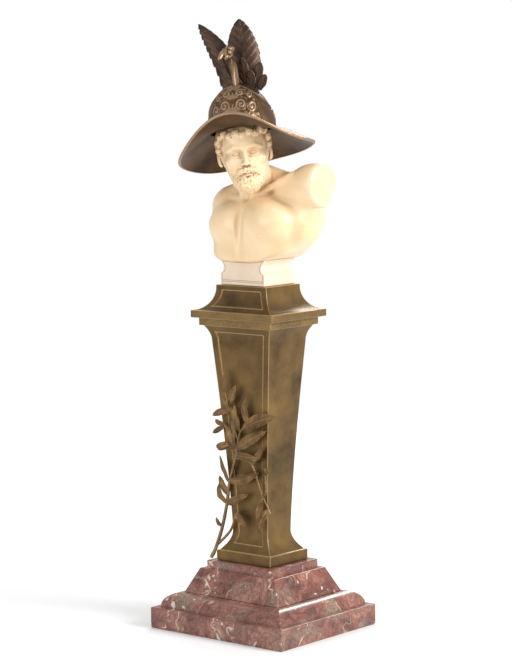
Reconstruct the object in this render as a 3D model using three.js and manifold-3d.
// Bust of a helmeted gladiator in ivory on a tall bronze pedestal with a marble base.
// Millimetres, +Z up, the bust faces -Y, the raised arm stump points to +X, origin under the marble.
import * as THREE from 'three';
import { mergeVertices } from 'three/addons/utils/BufferGeometryUtils.js';
import Module from 'manifold-3d';

const wasm = await Module();
wasm.setup();

// Driving dimensions
// Half sizes are [across X, across Y].
const SLAB_HALF = [64.6, 55.3];
const SLAB_TOP = 15.8;
const OVOLO_FOOT = [59.0, 50.0];
const OVOLO_HEAD = [46.6, 37.4];
const OVOLO_TOP = 26.7;
const SPLAY_FOOT = [46.2, 37.0];
const SPLAY_HEAD = [37.3, 29.8];
const SPLAY_TOP = 45.2;
const BAND_HALF = [32.2, 26.6];
const BAND_TOP = 51.2;
const JOINT_GAP = 0.3;

const FOOT_HALF = [26.4, 21.9];
const FOOT_TOP = 59.1;
const SHAFT_FOOT = [24.9, 20.1];
const SHAFT_WAIST = [17.2, 13.6];
const WAIST_Z = 74;
const SHAFT_HEAD = [28.0, 21.3];
const COVE_FOOT_Z = 217.5;
const COVE_HEAD = [32.6, 25.4];
const COVE_TOP = 229.4;
const STEP_HALF = [35.2, 27.4];
const STEP_TOP = 235.3;
const CAP_HALF = [39.9, 31.4];
const CAP_TOP = 240.7;
const NECK_HALF = [24.6, 19.4];
const NECK_TOP = 259.6;
const PANEL_MARGIN = 5.6;
const PANEL_DEPTH = 0.8;
const SHAFT_PANEL_Z = [65, 224.5];
const CAP_PANEL_Z = [244, 255.8];

const SOCLE_HALF = [21.3, 17.6];
const SOCLE_BAND = 8.6;
const SOCLE_WAIST = 18.2;
const SOCLE_HEIGHT = 21.5;

const BUST_FLOOR = 277;
const ARM_CUT_X = 58.6;
const CHEST_CUT_X = -38.5;
const TORSO_CELL = 5.8;
const HEAD_CELL = 2.3;
const HEAD_CELL_WIDE = 3.6;

const HEAD_AT = [0, -13, 359];
const HEAD_TURN = 42;
const HEAD_LEAN = 8;
const HEAD_NOD = 3;

const HELMET_AT = [-3.5, -11.0, 373.5];
const HELMET_TURN = 28;
const HELMET_LEAN = 8;
const HELMET_TIP_BACK = 8;
const BOWL_RADIUS = 25.3;
const BOWL_HEIGHT = 35.5;
const BRIM_HALF = [50.7, 49.3];
const BRIM_ASIDE = 1.5;
const BRIM_DROOP = 13.0;
const HELMET_WALL = 1.8;

const IVORY = { color: 0xe9cf9f, roughness: 0.32, metalness: 0 };
const SOCLE_IVORY = { color: 0xd9c6ae, roughness: 0.35, metalness: 0 };
const BRONZE = { color: 0x6e5632, roughness: 0.42, metalness: 0.9 };
const DARK_BRONZE = { color: 0x4a3324, roughness: 0.4, metalness: 0.9 };
const MARBLE = { color: 0x8d5548, roughness: 0.28, metalness: 0 };

const RAD = Math.PI / 180;
const mix = (a, b, t) => a + (b - a) * t;
const mixPair = (a, b, t) => [mix(a[0], b[0], t), mix(a[1], b[1], t)];
const clamp = (v, low, high) => Math.min(high, Math.max(low, v));
const smoothstep = (t) => t * t * (3 - 2 * t);

const part = new THREE.Group();
part.name = 'ivory_and_bronze_bust';

function addMesh(name, solid, look) {
  const mesh = new THREE.Mesh(solid, new THREE.MeshStandardMaterial(look));
  mesh.name = name;
  part.add(mesh);
}

// Closed solids as manifolds and back
function toManifold(geometry) {
  return new wasm.Manifold(new wasm.Mesh({
    numProp: 3,
    vertProperties: new Float32Array(geometry.attributes.position.array),
    triVerts: new Uint32Array(geometry.index.array),
  }));
}

function toGeometry(manifold) {
  const mesh = manifold.getMesh();
  const geometry = new THREE.BufferGeometry();
  geometry.setAttribute('position', new THREE.BufferAttribute(mesh.vertProperties, 3));
  geometry.setIndex(new THREE.BufferAttribute(mesh.triVerts, 1));
  return geometry;
}

function geometryFrom(points, faces) {
  const geometry = new THREE.BufferGeometry();
  geometry.setAttribute('position', new THREE.Float32BufferAttribute(points.flat(), 3));
  geometry.setIndex(faces.flat());
  return geometry;
}

// Two triangles over a quad of point numbers, split along its shorter diagonal
function splitQuad(points, [a, b, c, d]) {
  const gap = (p, q) => Math.hypot(...points[p].map((v, m) => v - points[q][m]));
  return gap(a, c) < gap(b, d) ? [[a, b, c], [a, c, d]] : [[a, b, d], [b, c, d]];
}

// A solid skinned over rings of equal point counts, closed by a fan at each end.
// Rings run from the first cap to the last, and each ring turns counter-clockwise seen from the last.
function skin(rings) {
  const count = rings[0].length;
  const points = rings.flat();
  const faces = [];
  for (let r = 0; r + 1 < rings.length; r++) {
    for (let i = 0; i < count; i++) {
      const a = r * count + i;
      const b = r * count + (i + 1) % count;
      faces.push(...splitQuad(points, [a, b, b + count, a + count]));
    }
  }
  const centre = (ring) => [0, 1, 2].map((k) => ring.reduce((s, p) => s + p[k], 0) / count);
  const first = points.push(centre(rings[0])) - 1;
  const last = points.push(centre(rings[rings.length - 1])) - 1;
  const top = (rings.length - 1) * count;
  for (let i = 0; i < count; i++) {
    const j = (i + 1) % count;
    faces.push([first, j, i], [last, top + i, top + j]);
  }
  return geometryFrom(points, faces);
}

// A solid of rectangular sections: levels hold z and the half sizes there.
function rectangularStack(levels) {
  return skin(levels.map(({ z, half: [x, y] }) => [[-x, -y, z], [x, -y, z], [x, y, z], [-x, y, z]]));
}

// Levels along a quarter ellipse between two half sizes, bulging out or hollowed in.
function quarter(zLow, low, zHigh, high, steps, hollow) {
  return Array.from({ length: steps + 1 }, (_, i) => {
    const angle = (i / steps) * Math.PI / 2;
    const rise = hollow ? 1 - Math.cos(angle) : Math.sin(angle);
    const inset = hollow ? Math.sin(angle) : 1 - Math.cos(angle);
    return { z: mix(zLow, zHigh, rise), half: mixPair(low, high, inset) };
  });
}

// Marble: a moulded slab and, on it, a splayed block with a plain band
const slab = rectangularStack([
  { z: 0, half: SLAB_HALF.map((h) => h - 0.8) },
  { z: 0.9, half: SLAB_HALF },
  { z: SLAB_TOP - 0.7, half: SLAB_HALF },
  { z: SLAB_TOP, half: SLAB_HALF.map((h) => h - 0.7) },
  ...quarter(SLAB_TOP + 0.01, OVOLO_FOOT, OVOLO_TOP, OVOLO_HEAD, 6, false),
]);
addMesh('marble_slab', slab, MARBLE);

const block = rectangularStack([
  { z: OVOLO_TOP + JOINT_GAP, half: SPLAY_FOOT },
  { z: SPLAY_TOP - 0.8, half: SPLAY_HEAD },
  { z: SPLAY_TOP, half: SPLAY_HEAD.map((h) => h - 0.9) },
  { z: SPLAY_TOP + 0.01, half: BAND_HALF },
  { z: BAND_TOP - 0.5, half: BAND_HALF },
  { z: BAND_TOP, half: BAND_HALF.map((h) => h - 0.5) },
]);
addMesh('marble_block', block, MARBLE);

// Bronze pedestal: foot, tapered shaft, cove, stepped cap and hollowed neck
function between(zLow, low, zHigh, high, power, steps) {
  return Array.from({ length: steps + 1 }, (_, i) => {
    const t = i / steps;
    return { z: mix(zLow, zHigh, t), half: mixPair(low, high, Math.pow(t, power)) };
  });
}

const pedestalLevels = [
  { z: BAND_TOP + JOINT_GAP, half: FOOT_HALF },
  { z: FOOT_TOP - 0.3, half: FOOT_HALF },
  ...between(WAIST_Z, SHAFT_WAIST, FOOT_TOP, SHAFT_FOOT, 2, 6).reverse(),
  ...between(WAIST_Z, SHAFT_WAIST, COVE_FOOT_Z, SHAFT_HEAD, 1.3, 7).slice(1),
  ...between(COVE_FOOT_Z, SHAFT_HEAD, COVE_TOP, COVE_HEAD, 2, 5).slice(1),
  { z: COVE_TOP + 0.01, half: STEP_HALF },
  { z: STEP_TOP, half: STEP_HALF },
  { z: STEP_TOP + 0.01, half: CAP_HALF },
  { z: CAP_TOP, half: CAP_HALF },
  ...quarter(CAP_TOP, CAP_HALF, NECK_TOP - 1.5, NECK_HALF, 7, true).slice(1),
  { z: NECK_TOP, half: NECK_HALF },
];

function halfAt(levels, z) {
  const i = Math.max(1, levels.findIndex((level) => level.z >= z));
  const [a, b] = [levels[i - 1], levels[i]];
  return mixPair(a.half, b.half, (z - a.z) / (b.z - a.z));
}

// The sunk panel follows the curve of the face at a constant depth.
function panelCutter(levels, [zLow, zHigh]) {
  const inside = levels.filter(({ z }) => z > zLow + 0.1 && z < zHigh - 0.1).map(({ z }) => z);
  return skin([zLow, ...inside, zHigh].map((z) => {
    const [x, y] = halfAt(levels, z);
    const edge = x - PANEL_MARGIN;
    return [[-edge, -y - 4, z], [edge, -y - 4, z], [edge, PANEL_DEPTH - y, z], [-edge, PANEL_DEPTH - y, z]];
  }));
}

const pedestal = [SHAFT_PANEL_Z, CAP_PANEL_Z].reduce(
  (solid, span) => solid.subtract(toManifold(panelCutter(pedestalLevels, span))),
  toManifold(rectangularStack(pedestalLevels)),
);
addMesh('bronze_pedestal', toGeometry(pedestal), BRONZE);

// Carved forms as signed distances in millimetres, negative inside
function ball(p, at, size) {
  const [x, y, z] = [0, 1, 2].map((k) => p[k] - at[k]);
  const near = Math.hypot(x / size[0], y / size[1], z / size[2]);
  const steep = Math.hypot(x / size[0] ** 2, y / size[1] ** 2, z / size[2] ** 2);
  return steep < 1e-9 ? -Math.min(...size) : near * (near - 1) / steep;
}

// A squarer ball, with edges filled out as the sum of cubes has them
function pad(p, at, size) {
  const sum = p.reduce((total, v, k) => total + Math.abs((v - at[k]) / size[k]) ** 3, 0);
  return (Math.cbrt(sum) - 1) * Math.min(...size);
}

// A rounded limb from one point to another, with a radius at each end
function limb(p, from, to, radiusFrom, radiusTo) {
  const axis = to.map((v, k) => v - from[k]);
  const away = p.map((v, k) => v - from[k]);
  const length2 = axis[0] ** 2 + axis[1] ** 2 + axis[2] ** 2;
  const t = clamp((axis[0] * away[0] + axis[1] * away[1] + axis[2] * away[2]) / length2, 0, 1);
  const off = away.map((v, k) => v - axis[k] * t);
  return Math.hypot(...off) - mix(radiusFrom, radiusTo, t);
}

// Smooth joining, cutting away and keeping the common part, over a width of k
function join(a, b, k) {
  const h = clamp(0.5 + 0.5 * (b - a) / k, 0, 1);
  return mix(b, a, h) - k * h * (1 - h);
}
const cut = (a, b, k) => -join(-a, b, k);
const common = (a, b, k) => -join(-a, -b, k);

// Grid lines along one axis, from spans of [start, end, step]
function gridLines(...spans) {
  const lines = [spans[0][0]];
  for (const [start, end, step] of spans) {
    const count = Math.round((end - start) / step);
    for (let i = 1; i <= count; i++) lines.push(mix(start, end, i / count));
  }
  return lines;
}

// Mesh of the surface where the field is zero: one vertex per crossed cell, drawn onto the surface
function surfaceOf(field, lines) {
  const n = lines.map((axis) => axis.length);
  const at = (i, j, k) => (i * n[1] + j) * n[2] + k;
  const values = new Float64Array(n[0] * n[1] * n[2]);
  for (let i = 0; i < n[0]; i++) {
    for (let j = 0; j < n[1]; j++) {
      for (let k = 0; k < n[2]; k++) values[at(i, j, k)] = field([lines[0][i], lines[1][j], lines[2][k]]);
    }
  }
  const corners = [0, 1, 2, 3, 4, 5, 6, 7].map((c) => [c & 1, (c >> 1) & 1, (c >> 2) & 1]);
  const edges = [];
  for (let a = 0; a < 8; a++) {
    for (const bit of [1, 2, 4]) if (!(a & bit)) edges.push([a, a | bit]);
  }
  const slope = (p) => [0, 1, 2].map((k) => {
    const e = 0.05;
    const [up, down] = [e, -e].map((shift) => field(p.map((v, m) => (m === k ? v + shift : v))));
    return (up - down) / (2 * e);
  });
  const drawn = (start, size) => {
    let p = start;
    for (let pass = 0; pass < 4; pass++) {
      const g = slope(p);
      const step = field(p) / Math.max(g[0] ** 2 + g[1] ** 2 + g[2] ** 2, 0.05);
      p = p.map((v, k) => clamp(v - step * g[k], start[k] - size[k] / 2, start[k] + size[k] / 2));
    }
    return p;
  };
  const vertexOf = new Map();
  const points = [];
  for (let i = 0; i + 1 < n[0]; i++) {
    for (let j = 0; j + 1 < n[1]; j++) {
      for (let k = 0; k + 1 < n[2]; k++) {
        const cornerValues = corners.map(([a, b, c]) => values[at(i + a, j + b, k + c)]);
        const crossings = edges.filter(([a, b]) => (cornerValues[a] < 0) !== (cornerValues[b] < 0));
        if (!crossings.length) continue;
        const sum = [0, 0, 0];
        for (const [a, b] of crossings) {
          const t = cornerValues[a] / (cornerValues[a] - cornerValues[b]);
          for (let m = 0; m < 3; m++) sum[m] += mix(corners[a][m], corners[b][m], t);
        }
        const cell = [i, j, k];
        const size = cell.map((c, m) => lines[m][c + 1] - lines[m][c]);
        const middle = cell.map((c, m) => lines[m][c] + size[m] * sum[m] / crossings.length);
        vertexOf.set(at(i, j, k), points.push(drawn(middle, size)) - 1);
      }
    }
  }
  const faces = [];
  const addQuad = (a, b, c, d, flip) => {
    for (const face of splitQuad(points, [a, b, c, d])) faces.push(flip ? face.reverse() : face);
  };
  for (let i = 1; i + 1 < n[0]; i++) {
    for (let j = 1; j + 1 < n[1]; j++) {
      for (let k = 1; k + 1 < n[2]; k++) {
        const inside = values[at(i, j, k)] < 0;
        const v = (a, b, c) => vertexOf.get(at(i - a, j - b, k - c));
        if (inside !== values[at(i + 1, j, k)] < 0) {
          addQuad(v(0, 1, 1), v(0, 0, 1), v(0, 0, 0), v(0, 1, 0), !inside);
        }
        if (inside !== values[at(i, j + 1, k)] < 0) {
          addQuad(v(1, 0, 1), v(1, 0, 0), v(0, 0, 0), v(0, 0, 1), !inside);
        }
        if (inside !== values[at(i, j, k + 1)] < 0) {
          addQuad(v(1, 1, 0), v(0, 1, 0), v(0, 0, 0), v(1, 0, 0), !inside);
        }
      }
    }
  }
  return geometryFrom(points, faces);
}

// A tilted frame: x to the figure's left, y to the back, z up
function tiltedFrame(at, turn, lean, nod) {
  const [a, b, c] = [turn * RAD, lean * RAD, nod * RAD];
  const side = new THREE.Vector3(Math.cos(a), Math.sin(a), 0);
  const face = new THREE.Vector3(Math.sin(a) * Math.cos(c), -Math.cos(a) * Math.cos(c), -Math.sin(c));
  const back = face.clone().negate();
  const up = new THREE.Vector3().crossVectors(side, back);
  const leaningUp = up.clone().multiplyScalar(Math.cos(b)).addScaledVector(side, -Math.sin(b));
  const leaningSide = side.clone().multiplyScalar(Math.cos(b)).addScaledVector(up, Math.sin(b));
  const matrix = new THREE.Matrix4().makeBasis(leaningSide, back, leaningUp).setPosition(...at);
  const inverse = matrix.clone().invert().elements;
  const toLocal = ([x, y, z]) => [0, 1, 2].map(
    (k) => inverse[k] * x + inverse[k + 4] * y + inverse[k + 8] * z + inverse[k + 12],
  );
  return { matrix, toLocal };
}

// Torso, cut across the right shoulder and the raised left arm, with a rounded lower edge
const FLOOR_CENTRE_Z = 318;
const FLOOR_CENTRE_X = 6;
const FLOOR_REACH = 49.5;

function underside([x, , z]) {
  const across = x - FLOOR_CENTRE_X;
  const reach = across > 0 ? FLOOR_REACH : FLOOR_CENTRE_X - CHEST_CUT_X;
  const power = across > 0 ? 2 : 6;
  const depth = FLOOR_CENTRE_Z - BUST_FLOOR;
  const down = Math.max(FLOOR_CENTRE_Z - z, 0);
  if (down === 0) return -depth;
  const sum = (Math.abs(across) / reach) ** power + (down / depth) ** power;
  return (sum ** (1 / power) - 1) * depth;
}

function torso(p) {
  const ribs = join(ball(p, [3, 3, 300], [38, 22, 34]), pad(p, [2.5, 1, 290], [37.6, 22.5, 32]), 3);
  const rightChest = ball(p, [-16, -8, 304], [20, 15.5, 16]);
  const leftChest = ball(p, [19, -8, 307], [22, 15.5, 17]);
  const flank = ball(p, [38, 8, 312], [17, 15, 26]);
  const rightShoulder = ball(p, [-27, 0, 317], [11.6, 14, 13.5]);
  const leftShoulder = ball(p, [49, 6, 335], [15.5, 14.5, 14.2]);
  const arm = limb(p, [30, 4, 330], [62, 7.6, 334.4], 12.5, 16.2);
  const rightSlope = limb(p, [0, 6, 338], [-24, 2, 323], 8.5, 9);
  const leftSlope = limb(p, [4, 8, 341], [34, 8, 333], 7, 7.5);
  const collarBone = limb(p, [3, -9, 324], [38, -4, 341], 2.2, 3);
  const armpit = ball(p, [55, -8, 311], [9, 10, 7]);
  let body = join(ribs, join(rightChest, leftChest, 3), 5);
  body = join(body, flank, 7);
  body = join(body, rightShoulder, 4);
  body = join(body, join(rightSlope, leftSlope, 4), 6);
  body = cut(body, armpit, 5);
  body = join(body, join(arm, leftShoulder, 5), 4);
  body = join(body, collarBone, 3);
  body = common(body, underside(p), 3);
  body = common(body, CHEST_CUT_X - p[0], 3);
  return common(body, p[0] - ARM_CUT_X, 3);
}

// Head and neck, with short curls, brows, a full beard and a moustache
const headFrame = tiltedFrame(HEAD_AT, HEAD_TURN, HEAD_LEAN, HEAD_NOD);
const NECK_FOOT = headFrame.toLocal([1, 2, 326]);
const NECK_HEAD = headFrame.toLocal([0, -7, 352]);
const CURL_STEP = 15;

function head(q) {
  const m = [Math.abs(q[0]), q[1], q[2]];
  const skull = ball(q, [0, 3, 7], [18, 22, 19]);
  const jaw = ball(q, [0, -7, -8], [14.5, 14.5, 18]);
  const brow = ball(q, [0, -16.5, 4], [12.5, 4.5, 2.8]);
  const cheek = ball(m, [9.5, -13, -6], [5.5, 5.5, 4]);
  const socket = ball(m, [6.3, -21.5, 0.3], [4.6, 3.6, 2.7]);
  const eye = ball(m, [6.3, -16.4, 0], [3.7, 3.7, 3.4]);
  const nose = limb(q, [0, -19, 2.5], [0, -23.6, -7.6], 1.5, 2.3);
  const nostril = ball(m, [2.3, -21, -8], [1.9, 2.4, 1.7]);
  const moustache = limb(m, [1.5, -21.5, -11.3], [8.5, -17, -16], 2.1, 1.5);
  const lip = ball(q, [0, -20.6, -15.6], [3.2, 1.8, 1.1]);
  const beard = ball(q, [0, -14, -20], [9.5, 9, 10.5]);
  const whisker = limb(m, [15.5, -3, 0], [6.5, -13.5, -21], 3.6, 5);
  const ear = ball(m, [18.6, 1.5, -3], [2.2, 3.8, 5.6]);
  const hairLine = 12.5 - 0.85 * (q[1] + 21) - q[2];
  const hair = common(ball(q, [0, 4, 8.5], [20, 23, 18]), hairLine, 2);
  let form = join(skull, jaw, 7);
  form = join(form, join(brow, cheek, 3), 3);
  form = cut(form, socket, 2);
  form = join(form, eye, 0.6);
  form = join(form, nose, 2);
  form = join(form, nostril, 1);
  form = join(form, join(beard, whisker, 4), 2.5);
  form = join(form, join(moustache, lip, 0.5), 1);
  form = join(form, ear, 1);
  form = join(form, hair, 1.5);
  for (let i = -4; i <= 4; i++) {
    const angle = i * CURL_STEP * RAD;
    const curl = [18 * Math.sin(angle), -18.5 * Math.cos(angle), 13.5 + (i & 1) * 1.6];
    form = join(form, ball(q, curl, [3, 3, 2.8]), 1);
  }
  for (const lock of [[18.4, -8, 9], [18.4, -5, 3.5], [18.4, 4, 6], [17.4, 10, 1], [12, 12, -6]]) {
    form = join(form, ball(m, lock, [2.6, 3, 3]), 1);
  }
  return join(form, limb(q, NECK_FOOT, NECK_HEAD, 14, 12.5), 4);
}

// The face has finer cells than the hidden crown and the neck.
const torsoGrid = [[-45, 67], [-35, 36], [268, 358]].map((span) => gridLines([...span, TORSO_CELL]));
const headGrid = [
  gridLines([-25, -11, HEAD_CELL_WIDE], [-11, 11, HEAD_CELL], [11, 25, HEAD_CELL_WIDE]),
  gridLines([-29, -10, HEAD_CELL], [-10, 32, HEAD_CELL_WIDE]),
  gridLines([-54, -25, HEAD_CELL_WIDE], [-25, 6, HEAD_CELL], [6, 30, HEAD_CELL_WIDE]),
];
const torsoGeometry = surfaceOf(torso, torsoGrid);
const headGeometry = surfaceOf(head, headGrid).applyMatrix4(headFrame.matrix);
const bust = toManifold(torsoGeometry).add(toManifold(headGeometry));
addMesh('ivory_bust', toGeometry(bust), IVORY);

// Ivory socle: a plain band, a hollow waist and a flared head, cut to the underside of the torso
function socleSide() {
  const levels = [[SOCLE_HALF[0] - 0.5, 0], [SOCLE_HALF[0], 0.5], [SOCLE_HALF[0], SOCLE_BAND]];
  const waistTop = SOCLE_BAND + 9.6;
  for (let i = 1; i < 8; i++) {
    const t = i / 8;
    const inset = (SOCLE_HALF[0] - SOCLE_WAIST) * Math.sin(Math.PI * Math.pow(t, 0.75)) ** 0.8;
    levels.push([SOCLE_HALF[0] - inset, mix(SOCLE_BAND, waistTop, t)]);
  }
  levels.push([SOCLE_HALF[0], waistTop], [SOCLE_HALF[0], SOCLE_HEIGHT]);
  return levels;
}

const socleBody = skin(socleSide().map(([x, rise]) => {
  const z = NECK_TOP + JOINT_GAP + rise;
  return [[-x, -SOCLE_HALF[1], z], [x, -SOCLE_HALF[1], z], [x, SOCLE_HALF[1], z], [-x, SOCLE_HALF[1], z]];
}));
const seat = torsoGeometry.clone().translate(0, 0, -JOINT_GAP);
addMesh('ivory_socle', toGeometry(toManifold(socleBody).subtract(toManifold(seat))), SOCLE_IVORY);

// Helmet: a domed bowl with a wide brim, low at the sides and back, raised over the face
const helmetFrame = tiltedFrame(HELMET_AT, HELMET_TURN, HELMET_LEAN, -HELMET_TIP_BACK);
const AROUND = 32;
// The rim's waves: front up and back down, a saddle, a peak over the brow, and a lift at the left side
const RIM_SWING = 10.3;
const RIM_SADDLE = 6.0;
const RIM_PEAK = 2.8;
const RIM_RIPPLE = 1.4;
const RIM_SIDE = 2.4;
const RIM_TWIST = -1.8;

// Height of the rim below the brim's root, with the angle counted from the front
function rimHeight(angle) {
  const even = [-BRIM_DROOP, RIM_SWING, RIM_SADDLE, RIM_PEAK, RIM_RIPPLE];
  const odd = [0, RIM_SIDE, RIM_TWIST];
  const wave = (sum, height, k) => sum + height * Math.cos(k * angle);
  return even.reduce(wave, 0) + odd.reduce((sum, height, k) => sum + height * Math.sin(k * angle), 0);
}

// One ring of the shell: t runs from 0 at the crown to 1 at the brim's root and 2 at the rim
function shellRing(t, inset) {
  return Array.from({ length: AROUND }, (_, i) => {
    const fromFront = (i / AROUND) * 2 * Math.PI;
    const [x, y] = [Math.sin(fromFront), -Math.cos(fromFront)];
    const slope = Math.min(t, 1) * Math.PI / 2;
    const out = Math.max(t - 1, 0);
    const bowl = (BOWL_RADIUS - inset) * Math.sin(slope);
    const crown = (BOWL_HEIGHT - inset) * Math.cos(slope);
    const under = (HELMET_WALL / 2 - inset) * smoothstep(Math.min(1, out * 4));
    const z = crown + rimHeight(fromFront) * out ** 1.15 + under;
    return [mix(bowl, BRIM_HALF[0], out) * x + BRIM_ASIDE * out, mix(bowl, BRIM_HALF[1], out) * y, z];
  });
}

const shellRows = [0.17, 0.43, 0.7, 0.95, 1.15, 1.42, 1.72, 1.97];
const shell = skin([
  ...shellRows.map((t) => shellRing(t, HELMET_WALL)),
  ...[2, ...shellRows.slice(0, -1).reverse()].map((t) => shellRing(t, 0)),
]);

// Crest: a thin fin over the brow that ends in a small head curling forwards
function crest(q) {
  const fin = join(ball(q, [1, -5, 37], [2.4, 6.5, 13]), ball(q, [0, -5, 48], [2.4, 4.5, 8]), 3);
  const snout = limb(q, [-5, -12, 57], [-7, -14.5, 53.5], 2.6, 1.9);
  const curl = join(ball(q, [-2, -9, 56.5], [4.4, 5.2, 4.6]), snout, 1.5);
  const tuft = limb(q, [-1, -6, 58.5], [1, -3, 61.5], 3, 1.9);
  const bowl = ball(q, [0, 0, 0], [BOWL_RADIUS - 0.9, BOWL_RADIUS - 0.9, BOWL_HEIGHT - 0.9]);
  return common(join(join(fin, curl, 2), tuft, 2), -bowl, 0.1);
}
const crestGrid = [gridLines([-12, 6, 2.3]), gridLines([-20, 8, 2.8]), gridLines([20, 67, 3.2])];
const crestSurface = surfaceOf(crest, crestGrid);
const helmet = toManifold(shell).add(toManifold(crestSurface));
addMesh('bronze_helmet', toGeometry(helmet).applyMatrix4(helmetFrame.matrix), DARK_BRONZE);

// Feather wings: blades that stand on the bowl behind the crest
const WING_ROOT_Z = 29;
const WING_AROUND = 10;
const WING_ROWS = 11;

function wing({ root, tip, width, foot, depth, turn, bend }) {
  const across = [Math.cos(turn * RAD), Math.sin(turn * RAD)];
  const rows = Array.from({ length: WING_ROWS }, (_, r) => {
    const t = r / (WING_ROWS - 1) * 0.995;
    const full = t < 0.5 ? 1 - (1 - foot) * (1 - 2 * t) ** 2 : (1 - (2 * t - 1) ** 1.6) ** 0.65;
    const half = width / 2 * full;
    const thick = mix(2.1, 0.9, t) * Math.min(1, full * 2);
    const lean = Math.max(0, (t - 0.25) / 0.75) ** bend;
    const middle = [mix(root, tip[0], lean), depth, mix(WING_ROOT_Z, tip[1], t)];
    return Array.from({ length: WING_AROUND }, (_, i) => {
      const angle = (i / WING_AROUND) * 2 * Math.PI;
      const u = half * Math.cos(angle);
      const v = thick * Math.sin(angle) + 0.02 * u * u;
      const aside = u * across[0] - v * across[1];
      const back = u * across[1] + v * across[0];
      return [middle[0] + aside, middle[1] + back, middle[2]];
    });
  });
  return toManifold(skin(rows));
}

const domeRings = [1, ...shellRows.slice(0, 4).reverse()].map((t) => shellRing(t, -JOINT_GAP));
const dome = toManifold(skin(domeRings));
const leftWing = wing({ root: 6.5, tip: [6.9, 83.6], width: 25.2, foot: 0.86, depth: 4.5, turn: 6, bend: 2 });
const rightWing = wing({ root: -7.6, tip: [-25, 85.6], width: 19, foot: 0.5, depth: 9.5, turn: -8, bend: 1.6 });
const wings = { bronze_wing_left: leftWing, bronze_wing_right: rightWing };
for (const [name, blade] of Object.entries(wings)) {
  addMesh(name, toGeometry(blade.subtract(dome)).applyMatrix4(helmetFrame.matrix), DARK_BRONZE);
}

// Branch: stems that climb the front of the pedestal, with long lance-shaped leaves
const STEM_LIFT = 2.6;
const LEAF_ROWS = 4;
// How far back into its stem a leaf is rooted
const LEAF_HEEL = 1.2;
// Each stem: radius and its route as [x, z] over the front face
const STEMS = {
  main: [1.4, [
    [-29.9, BAND_TOP + 1.8], [-27.3, 60], [-25.3, 75.6], [-19.6, 94.6],
    [-16, 111], [-7.5, 134], [-3.5, 149], [4.5, 157.5],
  ]],
  crown: [1.0, [[-7.5, 134], [-9.8, 152], [-12.2, 175.4]]],
  wind: [1.0, [[-7.5, 134], [-13, 146], [-18, 155.5]]],
  low: [1.1, [[-26.8, 63], [-20, 70.5], [-15.4, 76.7], [-11, 88]]],
  fall: [0.9, [[-9, 130], [0, 130], [6.8, 127], [12, 114], [16, 103], [20, 97], [22.7, 91]]],
  corner: [0.8, [[19.5, 125.3], [19.4, 107], [15.6, 102.8]]],
};
// Leaves: stem, place along it, length, angle from straight up, width
const LEAVES = [
  ['crown', 1.0, 23, -6, 4.4],
  ['crown', 0.88, 18, 27, 5.2],
  ['crown', 0.81, 11, -29, 4.4],
  ['main', 1.0, 20, 3, 5.2],
  ['crown', 0.79, 19, -109, 5.2],
  ['wind', 0.98, 9, -71, 4.4],
  ['wind', 0.93, 15, -116, 4.7],
  ['main', 0.85, 27, -8, 5.7],
  ['main', 0.91, 22, -9, 5.2],
  ['main', 0.98, 14, 59, 5.7],
  ['main', 0.92, 40, 69, 10.4],
  ['main', 0.79, 36, 62, 7.8],
  ['fall', 0.29, 21, 44, 6.0],
  ['main', 0.75, 24, 93, 6.0],
  ['wind', 0.33, 17, -101, 6.5],
  ['main', 0.54, 23, -21, 6.0],
  ['main', 0.45, 16, -26, 5.7],
  ['main', 0.39, 16, -25, 5.7],
  ['main', 0.22, 9, -38, 4.7],
  ['main', 0.55, 32, 72, 7.8],
  ['main', 0.39, 25, 68, 6.5],
  ['low', 1.0, 15, 135, 6.5],
  ['fall', 0.77, 22, -165, 6.5],
  ['fall', 0.94, 21, -155, 6.5],
  ['main', 0.76, 23, -22, 5.7],
  ['corner', 0.2, 9, 59, 3.9],
];

// A point in front of the pedestal's face, lifted off it
function overFace(x, z, lift) {
  const [, y] = halfAt(pedestalLevels, Math.max(z, BAND_TOP + 1));
  return new THREE.Vector3(x, -y - lift, z);
}

const stemCurves = Object.fromEntries(Object.entries(STEMS).map(([name, [, route]]) => [
  name, new THREE.CatmullRomCurve3(route.map(([x, z]) => overFace(x, z, STEM_LIFT))),
]));

function stem(curve, radius, steps) {
  const round = new THREE.Shape().absarc(0, 0, radius, 0, 2 * Math.PI);
  const options = { steps, curveSegments: 3, bevelEnabled: false, extrudePath: curve };
  const tube = new THREE.ExtrudeGeometry(round, options);
  tube.deleteAttribute('normal');
  tube.deleteAttribute('uv');
  return toManifold(mergeVertices(tube, 1e-4));
}

function leaf([stemName, place, length, angle, width], number) {
  const base = stemCurves[stemName].getPointAt(place);
  const [dx, dz] = [Math.sin(angle * RAD), Math.cos(angle * RAD)];
  const tilt = 0.35 * Math.sin(number * 2.4);
  const rise = 1.2 + (number % 3) * 0.9;
  const rows = Array.from({ length: LEAF_ROWS }, (_, r) => {
    const t = r / (LEAF_ROWS - 1);
    const along = length * t - (r === 0 ? LEAF_HEEL : 0);
    const lift = STEM_LIFT + rise * Math.sin(Math.PI * 0.9 * t);
    const middle = overFace(base.x + dx * along, base.z + dz * along, lift);
    if (r === 0) middle.y = base.y;
    const half = width / 2 * Math.max(0.15, Math.sin(Math.PI * Math.pow(t, 0.85)) ** 0.8);
    const thick = 0.65;
    const edge = (side, out) => [
      middle.x + side * half * dz,
      middle.y + side * half * tilt - out * thick,
      middle.z - side * half * dx,
    ];
    return [edge(-1, 0), edge(0, 1.5), edge(1, 0)];
  });
  return toManifold(skin(rows));
}

const stems = Object.entries(STEMS).map(
  ([name, [radius, route]]) => stem(stemCurves[name], radius, route.length + 1),
);
const branch = [...stems, ...LEAVES.map(leaf)].reduce((whole, piece) => whole.add(piece));
addMesh('bronze_branch', toGeometry(branch), BRONZE);

export default part;
